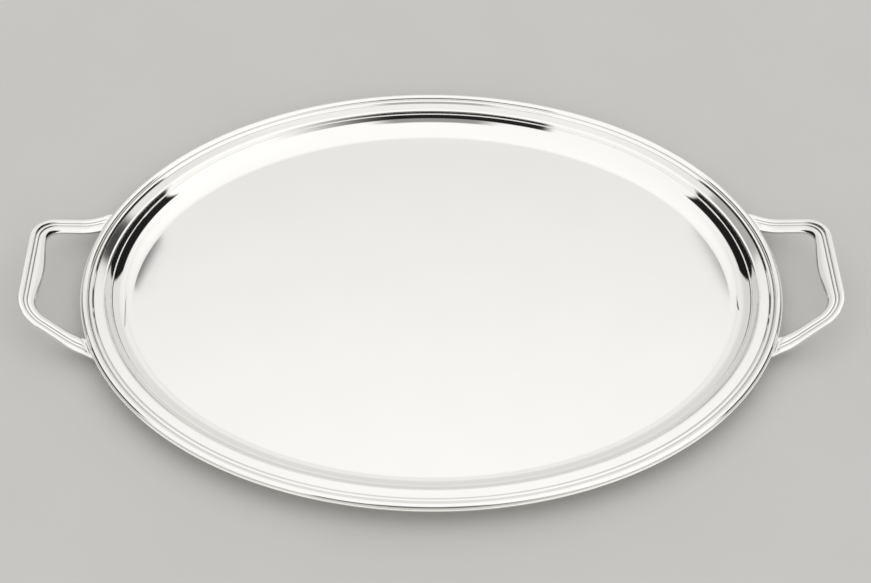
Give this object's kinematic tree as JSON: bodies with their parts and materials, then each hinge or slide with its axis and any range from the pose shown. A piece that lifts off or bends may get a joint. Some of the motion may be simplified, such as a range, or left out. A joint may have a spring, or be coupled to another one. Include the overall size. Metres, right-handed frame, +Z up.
{
  "type": "oval serving tray",
  "caption": "Large oval serving tray in mirror-polished metal, with a shallow well, a reeded border on a flat brim and fixed bracket handles that slope up from its ends.",
  "frame": {"origin": "on the resting plane, under the middle of the tray's floor", "axes": "+X along the tray towards the right handle, +Y across it towards the back, +Z up out of the well"},
  "size_m": [0.6906, 0.4498, 0.0423],
  "materials": {
    "sheet": "mirror polished",
    "moulding": "mirror polished",
    "casting": "mirror polished",
    "braze": "satin"
  },
  "bodies": {
    "root": {"pan": "sheet", "border": "moulding", "left_handle": "casting", "right_handle": "casting", "left_rear_fillet": "braze", "left_front_fillet": "braze", "right_rear_fillet": "braze", "right_front_fillet": "braze"}
  },
  "joints": []
}
